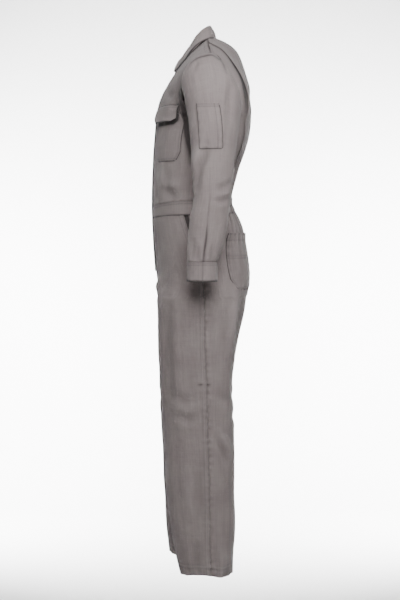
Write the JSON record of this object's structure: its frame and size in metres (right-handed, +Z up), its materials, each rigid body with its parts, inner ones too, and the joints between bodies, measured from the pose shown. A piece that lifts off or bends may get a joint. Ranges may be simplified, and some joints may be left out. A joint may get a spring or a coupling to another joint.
{
  "type": "boiler suit",
  "caption": "One-piece grey twill work suit in its worn form, hollow, with a turn-down collar, covered front zip, action back, patch pockets and long sleeves.",
  "frame": {"origin": "between the wearer's shoulders, inside the suit, where the wearer carries it", "axes": "+Z up the body, -Y out of the front, +X to the wearer's left"},
  "size_m": [0.646, 0.2894, 1.563],
  "materials": {
    "grey_twill": "matt cotton-rich twill"
  },
  "bodies": {
    "root": {"back_pocket_left": "grey_twill", "back_pocket_right": "grey_twill", "centre_back": "grey_twill", "chest_flap_left": "grey_twill", "chest_flap_right": "grey_twill", "chest_pocket_left": "grey_twill", "chest_pocket_right": "grey_twill", "collar_leaf": "grey_twill", "collar_stand": "grey_twill", "cuff_left": "grey_twill", "cuff_right": "grey_twill", "front_left": "grey_twill", "front_placket": "grey_twill", "front_right": "grey_twill", "side_back_left": "grey_twill", "side_back_right": "grey_twill", "side_pocket_facing_left": "grey_twill", "side_pocket_facing_right": "grey_twill", "sleeve_left": "grey_twill", "sleeve_pocket": "grey_twill", "sleeve_right": "grey_twill", "trouser_back_left": "grey_twill", "trouser_back_right": "grey_twill", "trouser_front_left": "grey_twill", "trouser_front_right": "grey_twill", "waistband_back": "grey_twill", "waistband_front_left": "grey_twill", "waistband_front_right": "grey_twill"}
  },
  "joints": []
}
